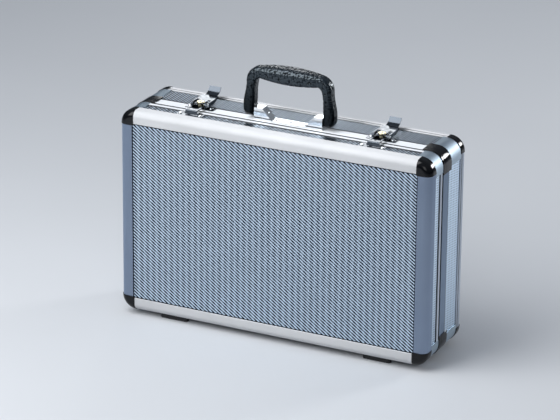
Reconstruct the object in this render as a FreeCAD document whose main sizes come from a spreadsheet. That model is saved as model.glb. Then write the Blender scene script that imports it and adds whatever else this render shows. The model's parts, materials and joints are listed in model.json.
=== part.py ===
import FreeCAD, Part
import math
import os
from types import SimpleNamespace

import Sketcher
from FreeCAD import Vector

# Driving sizes in millimetres. The case stands on its hinge side: X is its width,
# Y its depth from the lid (front) to the base (rear), Z its height.
DRIVING_SIZES = {
    # Closed body, without the handle, latches and feet
    "case_width": 450.0,
    "case_height": 286.0,
    "case_depth": 117.0,
    "lid_depth": 41.0,
    "parting_gap": 0.6,
    # Extrusion walls and the faced boards that slide into them
    "wall": 1.5,
    "board": 4.0,
    "board_play": 0.6,
    # Quarter-round edge extrusion round each face
    "edge_leg": 18.0,
    "edge_round": 9.4,
    "edge_web": 7.0,
    "lip_back": 2.0,
    # Corner posts and caps
    "corner_margin": 2.0,
    "post_flange": 6.0,
    "post_web": 1.0,
    "cap_proud": 0.8,
    # Mouth rims of the two halves
    "lid_rim_width": 8.5,
    "lid_rim_slot": 5.5,
    "base_rim_width": 21.0,
    "base_rim_slot": 4.0,
    "bead_width": 6.0,
    "bead_step": 0.7,
    "rim_round": 0.6,
    "tongue_height": 5.0,
    "tongue_wall": 1.5,
    "tongue_root": 3.0,
    "tongue_play": 0.5,
    "mouth_corner_width": 26.0,
    "mouth_corner_leg": 10.0,
    # Foam inside
    "foam_thickness": 12.0,
    "foam_play": 0.3,
    # Feet on the hinge side
    "floor_gap": 1.8,
    "foot_length": 40.0,
    "foot_width": 8.0,
    "foot_inset": 75.0,
    # Hinges
    "hinge_inset": 115.0,
    "hinge_length": 54.0,
    "leaf": 1.2,
    "leaf_margin": 0.2,
    "leaf_set_back": 3.2,
    "knuckle_radius": 2.5,
    "knuckle_play": 0.2,
    "knuckle_gap": 0.3,
    "hinge_pin_radius": 1.25,
    "pin_play": 0.05,
    # Rivets
    "rivet_radius": 1.5,
    "rivet_head_radius": 2.6,
    "rivet_head_height": 1.1,
    "rivet_tail": 1.5,
    "rivet_margin": 1.0,
    # Carrying handle and its plate
    "handle_width": 132.0,
    "handle_rise": 76.0,
    "leg_floor_play": 1.0,
    "leg_width": 16.0,
    "leg_depth": 19.0,
    "leg_round": 6.0,
    "knee_radius": 30.0,
    "shoulder_radius": 14.0,
    "grip_length": 84.0,
    "grip_swell": 3.3,
    "grip_step": 0.6,
    "handle_side_play": 0.5,
    "handle_pin_radius": 2.5,
    "leg_wall": 5.0,
    "plate_width": 14.0,
    "plate_set_back": 0.2,
    "plate_thickness": 1.6,
    "boss_wall": 3.0,
    "boss_length": 12.0,
    "boss_ramp": 13.0,
    # Draw latches
    "latch_inset": 93.0,
    "latch_sheet": 1.2,
    "latch_plate_depth": 14.0,
    "latch_plate_margin": 2.9,
    "ear_radius": 3.5,
    "lever_pivot_rise": 5.0,
    "lever_pin_radius": 1.5,
    "lever_pin_head": 2.4,
    "lever_side_play": 0.4,
    "lever_heel": 4.0,
    "lever_length": 33.0,
    "lever_flange_drop": 3.5,
    "lever_top": 1.6,
    "tab_width": 17.0,
    "tab_radius": 14.0,
    "claw_arm": 12.0,
    "claw_drop": 0.8,
    "claw_side_width": 2.0,
    "claw_side_play": 0.6,
    "claw_bar": 4.0,
    "claw_sheet": 1.5,
    "claw_eye": 2.0,
    "claw_eye_play": 0.2,
    "claw_pin_radius": 1.2,
    "nose_play": 0.4,
    "keeper_width": 36.0,
    "keeper_lip": 3.2,
    "keeper_lip_margin": 2.0,
    "keeper_rise": 1.2,
    "keeper_set_back": 0.5,
    # Key locks in the levers
    "lock_behind_pivot": 3.4,
    "lock_margin": 0.3,
    "lock_face_radius": 5.6,
    "lock_face_height": 0.9,
    "lock_barrel_radius": 4.4,
    "lock_barrel_length": 5.0,
    "lock_cam_reach": 5.4,
    "lock_cam": 1.2,
    "key_slot_length": 5.6,
    "key_slot_width": 1.2,
    "key_slot_depth": 1.6,
}

TAB_TURN = math.radians(68)

# Lean of the handle's legs towards the grip
LEG_LEAN = math.radians(6.4)

# Share of a wall that the rounding of its edge takes
ROUND_SHARE = 0.9

doc = FreeCAD.newDocument("AluminiumCase")
sheet = doc.addObject("Spreadsheet::Sheet", "Sizes")
for row, (alias, value) in enumerate(DRIVING_SIZES.items(), start=1):
    sheet.set(f"A{row}", alias)
    sheet.set(f"B{row}", str(value))
    sheet.setAlias(f"B{row}", alias)
doc.recompute()


class Size:
    """A length in millimetres together with the formula that ties it to the sheet."""

    def __init__(self, value, formula):
        self.value = value
        self.formula = formula

    def joined(self, sign, other, swapped=False):
        left, right = (as_size(other), self) if swapped else (self, as_size(other))
        worked = {"+": lambda a, b: a + b, "-": lambda a, b: a - b,
                  "*": lambda a, b: a * b, "/": lambda a, b: a / b}
        return Size(worked[sign](left.value, right.value), f"({left.formula} {sign} {right.formula})")

    def __add__(self, other):
        return self.joined("+", other)

    def __radd__(self, other):
        return self.joined("+", other, swapped=True)

    def __sub__(self, other):
        return self.joined("-", other)

    def __rsub__(self, other):
        return self.joined("-", other, swapped=True)

    def __mul__(self, other):
        return self.joined("*", other)

    def __rmul__(self, other):
        return self.joined("*", other, swapped=True)

    def __truediv__(self, other):
        return self.joined("/", other)

    def __neg__(self):
        return self.joined("*", -1)


def as_size(number):
    return number if isinstance(number, Size) else Size(float(number), repr(float(number)))


s = SimpleNamespace(**{alias: Size(float(sheet.get(alias)), f"Sizes.{alias}") for alias in DRIVING_SIZES})

# Levels and planes shared by many pieces
hinge_axis_drop = s.knuckle_radius + s.knuckle_play
bottom = hinge_axis_drop + s.knuckle_radius + s.floor_gap
top = bottom + s.case_height
middle = bottom + s.case_height / 2
parting = s.lid_depth - s.case_depth / 2
base_depth = s.case_depth - s.lid_depth
lid_mouth = s.lid_depth - s.parting_gap / 2
base_mouth = base_depth - s.parting_gap / 2
board_back = s.wall + s.board
inner = board_back + s.wall
flange_level = top - s.bead_step
bead_end = s.parting_gap / 2 + s.bead_width
corner_round = s.edge_leg + s.corner_margin
foot_x = s.case_width / 2 - s.foot_inset
hinge_x = s.case_width / 2 - s.hinge_inset
latch_x = s.case_width / 2 - s.latch_inset
lid_rim_web = s.lid_rim_width - s.lid_rim_slot
base_rim_web = s.base_rim_width - s.base_rim_slot

RIGHT, REAR, UP = Vector(1, 0, 0), Vector(0, 1, 0), Vector(0, 0, 1)
INWARD = {"top": -UP, "bottom": UP, "left": RIGHT, "right": -RIGHT}
INTO_HALF = {"lid": REAR, "base": -REAR}
SIDES = ("top", "bottom", "left", "right")
LEFT_RIGHT = {"left": -1, "right": 1}

parts = {}


def keep(label, piece):
    """Enter a finished piece under its own name."""
    piece.Label = label
    parts[label] = piece
    return piece


def bind(target, name, size):
    size = as_size(size)
    target.setExpression(name, size.formula)


def place(target, origin, axes=(RIGHT, REAR, UP)):
    """Stand a piece at an origin with its local X, Y and Z along the three axes."""
    x, y, z = axes
    turn = FreeCAD.Matrix(x.x, y.x, z.x, 0, x.y, y.y, z.y, 0, x.z, y.z, z.z, 0, 0, 0, 0, 1)
    origin = [as_size(part) for part in origin]
    target.Placement = FreeCAD.Placement(Vector(*[part.value for part in origin]), FreeCAD.Rotation(turn))
    for axis, part in zip("xyz", origin):
        target.setExpression(f"Placement.Base.{axis}", part.formula)


def new_body(label):
    return doc.addObject("PartDesign::Body", label)


def new_sketch(body, plane, offset=0):
    """An empty sketch on one of a body's own planes, moved along the plane's normal."""
    sketch = body.newObject("Sketcher::SketchObject", f"{body.Name}_sketch")
    face = next(face for face in body.Origin.OriginFeatures if face.Role == plane)
    sketch.AttachmentSupport = [(face, "")]
    sketch.MapMode = "FlatFace"
    sketch.setExpression("AttachmentOffset.Base.z", as_size(offset).formula)
    return sketch


def bind_point(sketch, geometry, end, x, y):
    for kind, size in (("DistanceX", as_size(x)), ("DistanceY", as_size(y))):
        index = sketch.addConstraint(Sketcher.Constraint(kind, -1, 1, geometry, end, size.value))
        sketch.setExpression(f"Constraints[{index}]", size.formula)


def bind_radius(sketch, geometry, radius):
    radius = as_size(radius)
    index = sketch.addConstraint(Sketcher.Constraint("Radius", geometry, radius.value))
    sketch.setExpression(f"Constraints[{index}]", radius.formula)


def direction(start, end):
    """Unit step between two corners that lie in line along X or Y."""
    across = as_size(end[0]).value - as_size(start[0]).value
    along = as_size(end[1]).value - as_size(start[1]).value
    length = math.hypot(across, along)
    return round(across / length), round(along / length)


def stops_of(corners):
    """Stops of an outline: each is x, y and the radius and turn of an arc to the next stop.

    A corner with a third value is rounded by that radius, between square-on sides. A corner
    with a third and a fourth value starts an arc of that radius and turn.
    """
    stops = []
    for index, corner in enumerate(corners):
        x, y = corner[:2]
        if len(corner) == 3:
            radius = corner[2]
            into = direction(corners[index - 1], corner)
            away = direction(corner, corners[(index + 1) % len(corners)])
            turn = into[0] * away[1] - into[1] * away[0]
            stops.append((x - radius * into[0], y - radius * into[1], radius, turn))
            stops.append((x + radius * away[0], y + radius * away[1], None, 0))
        elif len(corner) == 4:
            stops.append(corner)
        else:
            stops.append((x, y, None, 0))
    return stops


def arc_between(start, end, radius, turn):
    """Arc of less than half a circle; turn is 1 to the left and -1 to the right."""
    chord = end - start
    reach = math.sqrt(max(radius ** 2 - (chord.Length / 2) ** 2, 0))
    left = Vector(-chord.y, chord.x, 0).normalize()
    centre = (start + end) / 2 + left * reach * turn
    first, last = (start, end) if turn > 0 else (end, start)
    angles = [math.atan2(point.y - centre.y, point.x - centre.x) for point in (first, last)]
    return Part.ArcOfCircle(Part.Circle(centre, UP, radius), angles[0], angles[1])


def draw_outline(sketch, corners, closed=True):
    """Draw an outline whose every stop and radius follows the sheet."""
    stops = stops_of(corners)
    spots = [Vector(as_size(x).value, as_size(y).value, 0) for x, y, radius, turn in stops]
    ends = []
    for (x, y, radius, turn), start, end in zip(stops, spots, spots[1:] + spots[:closed]):
        if radius is None:
            geometry = sketch.addGeometry(Part.LineSegment(start, end), False)
        else:
            geometry = sketch.addGeometry(arc_between(start, end, as_size(radius).value, turn), False)
        ends.append((geometry, 2, 1) if turn < 0 else (geometry, 1, 2))
    for (geometry, _, far_end), (after, after_start, _) in zip(ends, ends[1:] + ends[:closed]):
        sketch.addConstraint(Sketcher.Constraint("Coincident", geometry, far_end, after, after_start))
    for (x, y, radius, turn), (geometry, start_end, far_end) in zip(stops, ends):
        bind_point(sketch, geometry, start_end, x, y)
        if radius is not None:
            bind_radius(sketch, geometry, radius)
    if not closed:
        bind_point(sketch, ends[-1][0], ends[-1][2], *stops[-1][:2])


def draw_circle(sketch, x, y, radius):
    spot = Vector(as_size(x).value, as_size(y).value, 0)
    geometry = sketch.addGeometry(Part.Circle(spot, UP, as_size(radius).value), False)
    bind_point(sketch, geometry, 3, x, y)
    bind_radius(sketch, geometry, radius)


def rectangle(x_low, x_high, y_low, y_high, *corner_radius):
    return [(x_low, y_low, *corner_radius), (x_high, y_low, *corner_radius),
            (x_high, y_high, *corner_radius), (x_low, y_high, *corner_radius)]


def extrude(body, plane, outlines, length, offset=0, centred=False, reverse=False):
    """Pad one outer outline, with any holes after it, along the plane's normal."""
    sketch = new_sketch(body, plane, offset)
    for outline in outlines:
        draw_outline(sketch, outline)
    pad = body.newObject("PartDesign::Pad", f"{body.Name}_pad")
    pad.Profile = sketch
    bind(pad, "Length", length)
    pad.SideType = "Symmetric" if centred else "One side"
    pad.Reversed = reverse
    return pad


def extrude_disc(body, plane, x, y, radius, length, offset=0, centred=False):
    sketch = new_sketch(body, plane, offset)
    draw_circle(sketch, x, y, radius)
    pad = body.newObject("PartDesign::Pad", f"{body.Name}_disc")
    pad.Profile = sketch
    bind(pad, "Length", length)
    pad.SideType = "Symmetric" if centred else "One side"
    return pad


def drill(body, plane, spots, radius, depth, offset=0, centred=False):
    """Round holes that run along the plane's normal from the offset plane."""
    sketch = new_sketch(body, plane, offset)
    for x, y in spots:
        draw_circle(sketch, x, y, radius)
    pocket = body.newObject("PartDesign::Pocket", f"{body.Name}_holes")
    pocket.Profile = sketch
    bind(pocket, "Length", depth)
    pocket.SideType = "Symmetric" if centred else "One side"
    pocket.Reversed = True
    return pocket


def revolve(body, outline, angle):
    """Turn an outline of radius and height about the body's Z axis."""
    sketch = new_sketch(body, "XZ_Plane")
    draw_outline(sketch, outline)
    turned = body.newObject("PartDesign::Revolution", f"{body.Name}_turn")
    turned.Profile = sketch
    turned.ReferenceAxis = (sketch, ["V_Axis"])
    turned.Angle = angle
    return turned


def group(label, pattern, places):
    """One node of separate like solids: the pattern piece repeated at each place."""
    copies = []
    for origin, axes in places:
        copy = doc.addObject("App::Link", f"{label}_copy")
        copy.LinkedObject = pattern
        place(copy, origin, axes)
        copies.append(copy)
    return gather(label, copies)


def gather(label, pieces):
    node = doc.addObject("Part::Compound", label)
    node.Links = pieces
    return keep(label, node)


def box(label, low, high):
    """A plain block between two corners."""
    block = doc.addObject("Part::Box", label)
    for name, start, end in zip(("Length", "Width", "Height"), low, high):
        bind(block, name, end - start)
    place(block, low)
    return keep(label, block)


def face_level(half):
    return -s.case_depth / 2 if half == "lid" else s.case_depth / 2


def side_origin(half, side):
    x = s.case_width / 2 * {"left": -1, "right": 1}.get(side, 0)
    return x, face_level(half), {"top": top, "bottom": bottom}.get(side, middle)


def side_length(side):
    return s.case_width if side in ("top", "bottom") else s.case_height


def side_bar(label, half, side, outlines, length):
    """A straight member of one side: local X runs in from the side, Y in from the face."""
    body = new_body(label)
    extrude(body, "XY_Plane", outlines, length, centred=True)
    inward, into = INWARD[side], INTO_HALF[half]
    place(body, side_origin(half, side), (inward, into, inward.cross(into)))
    return body


def corner_places(half):
    """Frames at the four corner axes of a half: X and Y point out, Z runs in from the face."""
    into = INTO_HALF[half]
    places = []
    for up_or_down in ("top", "bottom"):
        for left_or_right in ("left", "right"):
            out_z, out_x = -INWARD[up_or_down], -INWARD[left_or_right]
            axes = (out_z, out_x, into)
            if out_z.cross(out_x).dot(into) < 0:
                axes = (out_x, out_z, into)
            x = (s.case_width / 2 - corner_round) * out_x.x
            z = middle + (s.case_height / 2 - corner_round) * out_z.z
            places.append(((x, face_level(half), z), axes))
    return places


# Face panels: embossed sheet on board, held in the slots of the edge extrusions, with the corners
# cut off to pass inside the rounding of the corner caps
def make_face_panel(half):
    margin = s.edge_web + s.board_play
    reach_x, reach_z = s.case_width / 2 - margin, s.case_height / 2 - margin
    cut = (corner_round - margin) * 2 - (corner_round - s.edge_round)
    outline = []
    for sign_x, sign_z in ((-1, -1), (1, -1), (1, 1), (-1, 1)):
        beside = ((reach_x - cut) * sign_x, reach_z * sign_z)
        above = (reach_x * sign_x, (reach_z - cut) * sign_z)
        outline += [beside, above] if sign_x * sign_z < 0 else [above, beside]
    body = new_body(f"{half}_panel")
    extrude(body, "XZ_Plane", [outline], s.board, centred=True)
    board_middle = s.wall + s.board / 2
    place(body, (0, face_level(half) + board_middle * INTO_HALF[half].y, middle))
    keep(f"{half}_panel", body)


# Edge extrusions: quarter-round outside, with a slot for the face and one for the side board
def make_edge(half, side):
    leg, web, back = s.edge_leg, s.edge_web, s.edge_leg - s.lip_back
    outline = [
        (0, leg), (0, 0, s.edge_round), (leg, 0), (leg, s.wall), (web, s.wall), (web, board_back),
        (back, board_back), (back, inner), (inner, inner), (inner, back), (board_back, back),
        (board_back, web), (s.wall, web), (s.wall, leg),
    ]
    label = f"{half}_edge_{side}"
    keep(label, side_bar(label, half, side, [outline], side_length(side) - corner_round * 2))


# Side boards between the edge extrusion and the mouth rim
def make_side_board(half, side):
    web = lid_rim_web if half == "lid" else base_rim_web
    mouth = lid_mouth if half == "lid" else base_mouth
    outline = rectangle(s.wall, board_back, s.edge_web + s.board_play, mouth - web - s.board_play)
    length = side_length(side) - (corner_round + s.post_web + s.board_play) * 2
    label = f"{half}_side_{side}"
    return keep(label, side_bar(label, half, side, [outline], length))


# Lid rim: a narrow channel round the mouth
def make_lid_rim(side):
    outer = lid_mouth - s.lid_rim_width
    web = lid_mouth - lid_rim_web
    back = outer + s.lip_back
    outline = [
        (0, lid_mouth, s.rim_round), (0, outer, s.rim_round), (s.wall, outer), (s.wall, web),
        (board_back, web), (board_back, back), (inner, back), (inner, lid_mouth),
    ]
    length = side_length(side) - (corner_round + s.post_flange) * 2
    label = f"lid_rim_{side}"
    return keep(label, side_bar(label, "lid", side, [outline], length))


tongue_in = inner + s.tongue_play
tongue_out = tongue_in + s.tongue_wall


# Base rim: a bead beside the parting, a wide flange, and a tongue that stands inside the lid
def make_base_rim(side):
    outer = base_mouth - s.base_rim_width
    web = base_mouth - base_rim_web
    bead = base_mouth - s.bead_width
    back = outer + s.lip_back
    root = base_mouth - s.tongue_root
    tip = base_mouth + s.tongue_height
    outline = [
        (0, base_mouth, s.rim_round), (0, bead, s.rim_round), (s.bead_step, bead), (s.bead_step, outer),
        (s.wall, outer), (s.wall, web), (board_back, web), (board_back, back), (inner, back),
        (inner, root), (tongue_out, root), (tongue_out, tip), (tongue_in, tip), (tongue_in, base_mouth),
    ]
    hollow = rectangle(s.bead_step + s.wall, board_back, web + s.wall, base_mouth - s.wall)
    length = side_length(side) - (corner_round + s.mouth_corner_leg) * 2
    label = f"base_rim_{side}"
    return keep(label, side_bar(label, "base", side, [outline, hollow], length))


# Corner posts: rounded members between two side boards
def make_posts(half):
    reach = corner_round
    slot_out, slot_in, back = reach - s.wall, reach - board_back, reach - inner
    end, slot_end, lip = -s.post_flange, -s.post_web, -s.post_flange + s.post_web
    outline = [
        (reach, end), (reach, reach, reach), (end, reach), (end, slot_out), (slot_end, slot_out),
        (slot_end, slot_in), (lip, slot_in), (lip, back), (back, back, back), (back, lip),
        (slot_in, lip), (slot_in, slot_end), (slot_out, slot_end), (slot_out, end),
    ]
    far = lid_mouth if half == "lid" else base_mouth - s.mouth_corner_width
    body = new_body(f"{half}_post_pattern")
    extrude(body, "XY_Plane", [outline], far - s.edge_leg, offset=s.edge_leg)
    group(f"{half}_corner_posts", body, corner_places(half))


# Corner caps: moulded shells that close the ends of three members
def make_caps():
    outer = corner_round + s.cap_proud
    shell = corner_round - s.wall
    outline = [
        (0, -s.cap_proud), (outer, -s.cap_proud, s.edge_round + s.cap_proud), (outer, s.edge_leg),
        (shell, s.edge_leg), (shell, s.wall, s.edge_round - s.wall), (0, s.wall),
    ]
    body = new_body("cap_pattern")
    revolve(body, outline, 90)
    for half in ("lid", "base"):
        group(f"{half}_corner_caps", body, corner_places(half))


# Mouth corners of the base: black mouldings that carry the rim round the corner
def make_mouth_corners():
    outer = corner_round + s.cap_proud
    low = base_mouth - s.mouth_corner_width
    web = base_mouth - base_rim_web
    back = base_mouth - s.base_rim_width + s.lip_back
    root = base_mouth - s.tongue_root
    tip = base_mouth + s.tongue_height
    across = [corner_round - depth for depth in (s.wall, board_back, inner, tongue_in, tongue_out)]
    slot_out, slot_in, wall_in, tongue_face, tongue_back = across
    outline = [
        (outer, base_mouth, s.cap_proud), (outer, low, s.cap_proud), (slot_out, low), (slot_out, web),
        (slot_in, web), (slot_in, back), (wall_in, back), (wall_in, root), (tongue_back, root),
        (tongue_back, tip), (tongue_face, tip), (tongue_face, base_mouth),
    ]
    body = new_body("mouth_corner_pattern")
    revolve(body, outline, 90)
    extrude(body, "XZ_Plane", [outline], s.mouth_corner_leg)
    extrude(body, "YZ_Plane", [outline], s.mouth_corner_leg, reverse=True)
    group("base_mouth_corners", body, corner_places("base"))


# Linings flush with the inner walls of the extrusions
def make_lining(half):
    mouth, rim = (lid_mouth, s.lid_rim_width) if half == "lid" else (base_mouth, s.base_rim_width)
    outline = rectangle(board_back, inner, s.edge_leg - s.lip_back, mouth - rim + s.lip_back)
    end = corner_round + s.post_flange - s.post_web
    boards = []
    for side in SIDES:
        boards.append(side_bar(f"{half}_lining_{side}", half, side, [outline], side_length(side) - end * 2))
    gather(f"{half}_lining", boards)


# Foam pads on the inside of the face panels
def make_foam(half):
    margin = s.edge_leg - s.lip_back + s.foam_play
    near, far = board_back, board_back + s.foam_thickness
    front, back = (near, far) if half == "lid" else (-far, -near)
    reach_x = s.case_width / 2 - margin
    low = (-reach_x, face_level(half) + front, bottom + margin)
    high = (reach_x, face_level(half) + back, top - margin)
    box(f"{half}_foam", low, high)


# Feet: rubber bars on the flat of the bottom edge extrusions
def make_feet():
    body = new_body("foot_pattern")
    half_length, half_width = s.foot_length / 2, s.foot_width / 2
    outline = rectangle(-half_length, half_length, -half_width, half_width, s.foot_width / 2 * ROUND_SHARE)
    extrude(body, "XY_Plane", [outline], bottom)
    flat_middle = (s.edge_round + s.edge_leg) / 2
    for half, sign in (("lid", 1), ("base", -1)):
        y = face_level(half) + flat_middle * sign
        spots = [((foot_x * side, y, 0), (RIGHT, REAR, UP)) for side in (-1, 1)]
        group(f"{half}_feet", body, spots)


for half in ("lid", "base"):
    make_face_panel(half)
    for side in SIDES:
        make_edge(half, side)
    make_posts(half)
    make_lining(half)
    make_foam(half)
side_boards = {(half, side): make_side_board(half, side) for half in ("lid", "base") for side in SIDES}
lid_rims = {side: make_lid_rim(side) for side in SIDES}
base_rims = {side: make_base_rim(side) for side in SIDES}
make_caps()
make_mouth_corners()
make_feet()

# Rivets: a domed head on the sheet and a shank through what it holds. The pattern's Z runs out
# of the case, with the head's seat at zero.
rivet_hole = s.rivet_radius + s.pin_play


def make_rivet_pattern(label, grip):
    body = new_body(label)
    dome = s.rivet_head_height * ROUND_SHARE
    outline = [
        (0, -grip), (s.rivet_radius, -grip), (s.rivet_radius, 0), (s.rivet_head_radius, 0),
        (s.rivet_head_radius, s.rivet_head_height, dome), (0, s.rivet_head_height),
    ]
    revolve(body, outline, 360)
    return body


def spread(spacing, count):
    """Places along a row, evenly spaced about its middle."""
    return [spacing * (index - (count - 1) / 2) for index in range(count)]


# Hinges: two leaves round one pin, on the underside at the parting line
HINGE_RIVETS = 3
leaf_step = s.bead_width + s.parting_gap
leaf_rivet_start = {"lid": s.leaf_set_back, "base": leaf_step + s.leaf}
head_room = s.rivet_head_radius + s.leaf_margin
hinge_rivet_row = {half: start + head_room for half, start in leaf_rivet_start.items()}
leaf_width = {half: start + head_room * 2 for half, start in leaf_rivet_start.items()}
hinge_rivet_spots = spread(s.hinge_length / HINGE_RIVETS, HINGE_RIVETS)
knuckle = (s.hinge_length - s.knuckle_gap * 2) / 3
KNUCKLE_SPOTS = {"lid": (0,), "base": (-1, 1)}


def leaf_outline(half):
    """Leaf section: local X runs up from the underside, Y away from the parting plane."""
    under = -s.leaf
    if half == "lid":
        return rectangle(under, 0, s.leaf_set_back, leaf_width["lid"])
    return [
        (under, s.leaf_set_back), (under, leaf_step + s.leaf), (s.bead_step - s.leaf, leaf_step + s.leaf),
        (s.bead_step - s.leaf, leaf_width["base"]), (s.bead_step, leaf_width["base"]),
        (s.bead_step, leaf_step), (0, leaf_step), (0, s.leaf_set_back),
    ]


def make_hinge_leaf(half, side):
    body = new_body(f"hinge_leaf_{half}_{side}")
    extrude(body, "XY_Plane", [leaf_outline(half)], s.hinge_length, centred=True)
    for spot in KNUCKLE_SPOTS[half]:
        start = (knuckle + s.knuckle_gap) * spot - knuckle / 2
        web = rectangle(-s.leaf, 0, 0, s.leaf_set_back + s.leaf)
        extrude(body, "XY_Plane", [web], knuckle, offset=start)
        extrude_disc(body, "XY_Plane", -hinge_axis_drop, 0, s.knuckle_radius, knuckle, offset=start)
    drill(body, "XY_Plane", [(-hinge_axis_drop, 0)], s.hinge_pin_radius + s.pin_play,
          s.hinge_length * 2, centred=True)
    spots = [(hinge_rivet_row[half], along) for along in hinge_rivet_spots]
    drill(body, "YZ_Plane", spots, rivet_hole, s.leaf * 4, centred=True)
    away = -REAR if half == "lid" else REAR
    place(body, (hinge_x * LEFT_RIGHT[side], parting, bottom), (UP, away, UP.cross(away)))
    keep(f"hinge_leaf_{half}_{side}", body)


for side in LEFT_RIGHT:
    for half in ("lid", "base"):
        make_hinge_leaf(half, side)

hinge_pin = doc.addObject("Part::Cylinder", "hinge_pin_pattern")
bind(hinge_pin, "Radius", s.hinge_pin_radius)
bind(hinge_pin, "Height", s.hinge_length)
hinge_pin_places = []
for sign in LEFT_RIGHT.values():
    pin_start = hinge_x * sign - s.hinge_length / 2
    hinge_pin_places.append(((pin_start, parting, bottom - hinge_axis_drop), (REAR, UP, RIGHT)))
group("hinge_pins", hinge_pin, hinge_pin_places)

# Handle plate: a bright strip on the base flange, with a ramped boss at each end for the pins
handle_behind_parting = bead_end + s.plate_set_back + s.plate_width / 2
handle_y = parting + handle_behind_parting
handle_pivot_rise = s.leg_depth / 2 + s.leg_floor_play
pivot_over_plate = handle_pivot_rise + s.bead_step
boss_end = s.handle_width / 2 - s.leg_width - s.handle_side_play
boss_flat = boss_end - s.boss_length
boss_start = boss_flat - s.boss_ramp
handle_pin_reach = s.leg_width - s.leg_wall
plate_rivet_spots = spread(boss_start - s.rivet_head_radius - s.rivet_margin, 3)


def make_handle_plate():
    body = new_body("handle_plate")
    half_width = s.plate_width / 2
    strip = rectangle(-boss_end, boss_end, -half_width, half_width)
    extrude(body, "XY_Plane", [strip], s.plate_thickness)
    boss_top = pivot_over_plate + s.handle_pin_radius + s.boss_wall
    for sign in LEFT_RIGHT.values():
        profile = [
            (boss_end * sign, 0), (boss_end * sign, boss_top), (boss_flat * sign, boss_top),
            (boss_start * sign, s.plate_thickness), (boss_start * sign, 0),
        ]
        extrude(body, "XZ_Plane", [profile], s.plate_width, centred=True)
    drill(body, "YZ_Plane", [(0, pivot_over_plate)], s.handle_pin_radius + s.pin_play,
          s.handle_width * 2, centred=True)
    spots = [(along, 0) for along in plate_rivet_spots]
    drill(body, "XY_Plane", spots, rivet_hole, s.plate_thickness * 4, centred=True)
    place(body, (0, handle_y, flange_level))
    keep("handle_plate", body)


make_handle_plate()


# Handle: a moulded arch with legs that turn on the pins and lean inwards above them, and a fuller grip
def make_handle():
    body = new_body("handle_grip")
    leg_x = (s.handle_width - s.leg_width) / 2
    crown = s.handle_rise - handle_pivot_rise - s.grip_swell - s.leg_width / 2
    half_width, half_depth = s.leg_width / 2, s.leg_depth / 2
    knee, bend = s.knee_radius, s.shoulder_radius
    knee_x = leg_x - knee * (1 - math.cos(LEG_LEAN))
    knee_z = half_depth + knee * math.sin(LEG_LEAN)
    bend_z = crown - bend * (1 - math.sin(LEG_LEAN))
    bend_x = knee_x - (bend_z - knee_z) * math.tan(LEG_LEAN)
    crown_x = bend_x - bend * math.cos(LEG_LEAN)
    path = new_sketch(body, "XZ_Plane")
    draw_outline(path, [
        (-leg_x, 0), (-leg_x, half_depth, knee, -1), (-knee_x, knee_z), (-bend_x, bend_z, bend, -1),
        (-crown_x, crown), (crown_x, crown, bend, -1), (bend_x, bend_z), (knee_x, knee_z, knee, -1),
        (leg_x, half_depth), (leg_x, 0)], closed=False)
    section = new_sketch(body, "XY_Plane")
    draw_outline(section, rectangle(-leg_x - half_width, -leg_x + half_width, -half_depth, half_depth,
                                    s.leg_round))
    arch = body.newObject("PartDesign::AdditivePipe", "handle_arch")
    arch.Profile = section
    arch.Spine = path
    for sign in LEFT_RIGHT.values():
        start = leg_x * sign - half_width
        extrude_disc(body, "YZ_Plane", 0, 0, half_depth, s.leg_width, offset=start)
    sections = []
    grip_end = s.grip_length / 2
    for along, swell in ((-grip_end, 0), (0, s.grip_swell), (grip_end, 0)):
        ring = new_sketch(body, "YZ_Plane", along)
        deep, tall = half_depth + swell + s.grip_step, half_width + swell
        draw_outline(ring, rectangle(-deep, deep, crown - tall, crown + tall, s.leg_round))
        sections.append(ring)
    grip = body.newObject("PartDesign::AdditiveLoft", "handle_grip_swell")
    grip.Profile = sections[0]
    grip.Sections = sections[1:]
    for sign in LEFT_RIGHT.values():
        hole_start = s.handle_width / 2 - s.leg_width
        start = hole_start if sign > 0 else -hole_start - handle_pin_reach
        drill(body, "YZ_Plane", [(0, 0)], s.handle_pin_radius + s.pin_play, handle_pin_reach, offset=start)
    place(body, (0, handle_y, top + handle_pivot_rise))
    keep("handle_grip", body)


make_handle()

handle_pin = doc.addObject("Part::Cylinder", "handle_pin_pattern")
bind(handle_pin, "Radius", s.handle_pin_radius)
bind(handle_pin, "Height", s.boss_length + s.handle_side_play + handle_pin_reach - s.pin_play)
handle_pin_places = []
for sign in LEFT_RIGHT.values():
    pin_start = boss_flat * sign
    axes = (REAR, UP, RIGHT) if sign > 0 else (UP, REAR, -RIGHT)
    handle_pin_places.append(((pin_start, handle_y, top + handle_pivot_rise), axes))
group("handle_pins", handle_pin, handle_pin_places)

# Draw latches. All pieces of a latch share a frame at its middle, on the parting plane, level
# with the top of the case; the lever turns on its pivot and the claw on a pin in the lever.
latch_front = s.bead_width + s.parting_gap
pivot_y = latch_front + s.ear_radius
pivot_z = s.lever_pivot_rise
claw_y = pivot_y + s.claw_arm
claw_z = pivot_z - s.claw_drop
tongue_half = s.lock_face_radius + s.lock_margin
claw_in = tongue_half + s.claw_side_play
claw_out = claw_in + s.claw_side_width
ear_in = claw_out + s.claw_side_play
ear_out = ear_in + s.latch_sheet
flange_in = ear_out + s.lever_side_play
lever_half = flange_in + s.latch_sheet
lever_top_start = s.claw_arm + s.claw_eye + s.claw_eye_play
latch_rivet_reach = lever_half + s.rivet_head_radius + s.rivet_margin
latch_plate_reach = latch_rivet_reach + s.rivet_head_radius + s.latch_plate_margin
latch_rivet_spots = spread(latch_rivet_reach * 2, 2)
lever_pin_hole = s.lever_pin_radius + s.pin_play
claw_pin_hole = s.claw_pin_radius + s.pin_play
keeper_back = s.lid_rim_width + s.parting_gap / 2 + s.keeper_set_back
keeper_front = s.lid_depth - s.edge_leg - s.keeper_set_back
keeper_rivet_row = (keeper_back + s.keeper_lip + keeper_front) / 2
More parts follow.
